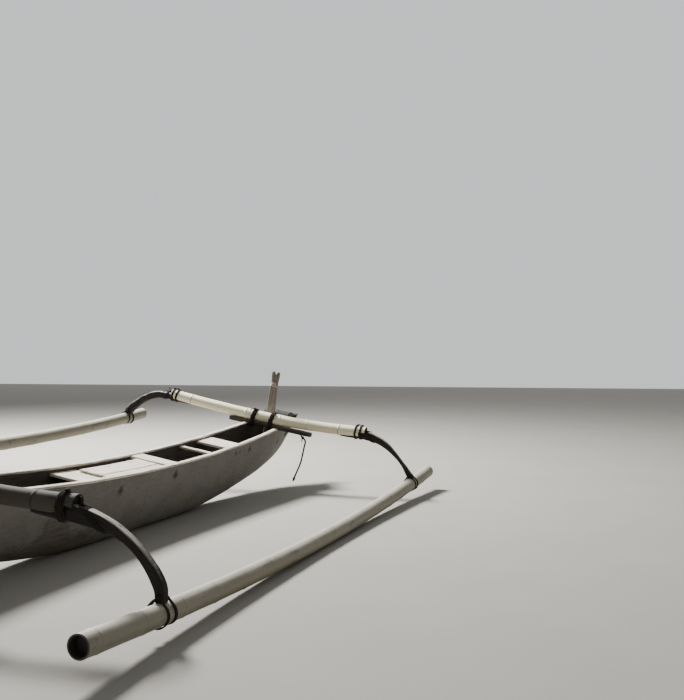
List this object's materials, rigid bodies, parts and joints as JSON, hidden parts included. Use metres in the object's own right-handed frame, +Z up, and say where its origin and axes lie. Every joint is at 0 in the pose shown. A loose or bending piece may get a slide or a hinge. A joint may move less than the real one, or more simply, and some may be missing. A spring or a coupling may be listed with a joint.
{
  "type": "double-outrigger canoe",
  "caption": "Log canoe with washstrakes, end blocks, bamboo booms, bent wooden elbows and bamboo floats, lashed together and lying beached on its keel and one float.",
  "frame": {"origin": "on the ground, under the middle of the outline", "axes": "+X to the bow, +Y to port, +Z up; the boat is heeled 9.8 degrees about X onto its keel and its starboard float"},
  "size_m": [7.48, 3.7516, 1.3514],
  "materials": {
    "log_wood": "bare weathered hardwood log, dark and grainy",
    "worn_paint": "planks with thin worn off-white paint",
    "rail_wood": "bare sun-bleached rail",
    "block_wood": "bare weathered wood",
    "board_wood": "sawn boards bleached grey",
    "bamboo_cane": "straw-pale bamboo, smooth and slightly glossy",
    "elbow_wood": "bent natural crook, adzed and weathered",
    "post_wood": "bare weathered post",
    "lashing_rope": "dark weathered fibre rope"
  },
  "bodies": {
    "root": {"hull_log": "log_wood", "washstrake_port": "worn_paint", "washstrake_starboard": "worn_paint", "gunwale_rail_port": "rail_wood", "gunwale_rail_starboard": "rail_wood", "stem_block_bow": "block_wood", "stem_block_stern": "block_wood", "thwart_stern": "board_wood", "thwart_mid": "board_wood", "thwart_fore": "board_wood", "seat_thwart_bow": "board_wood", "seat_thwart_stern": "board_wood", "deck_bearer": "board_wood", "deck_board_port": "board_wood", "deck_board_starboard": "board_wood", "boom_bow": "bamboo_cane", "boom_stern": "bamboo_cane", "float_port": "bamboo_cane", "float_starboard": "bamboo_cane", "crosspiece_bow": "block_wood", "crosspiece_stern": "block_wood", "elbow_bow_port": "elbow_wood", "elbow_bow_starboard": "elbow_wood", "elbow_stern_port": "elbow_wood", "elbow_stern_starboard": "elbow_wood", "hull_lashing_bow_port": "lashing_rope", "hull_lashing_bow_starboard": "lashing_rope", "hull_lashing_stern_port": "lashing_rope", "hull_lashing_stern_starboard": "lashing_rope", "boom_lashing_bow_port": "lashing_rope", "boom_lashing_bow_starboard": "lashing_rope", "boom_lashing_stern_port": "lashing_rope", "boom_lashing_stern_starboard": "lashing_rope", "float_lashing_bow_port": "lashing_rope", "float_lashing_bow_starboard": "lashing_rope", "float_lashing_stern_port": "lashing_rope", "float_lashing_stern_starboard": "lashing_rope", "forked_post": "post_wood", "hanging_rope": "lashing_rope"}
  },
  "joints": []
}
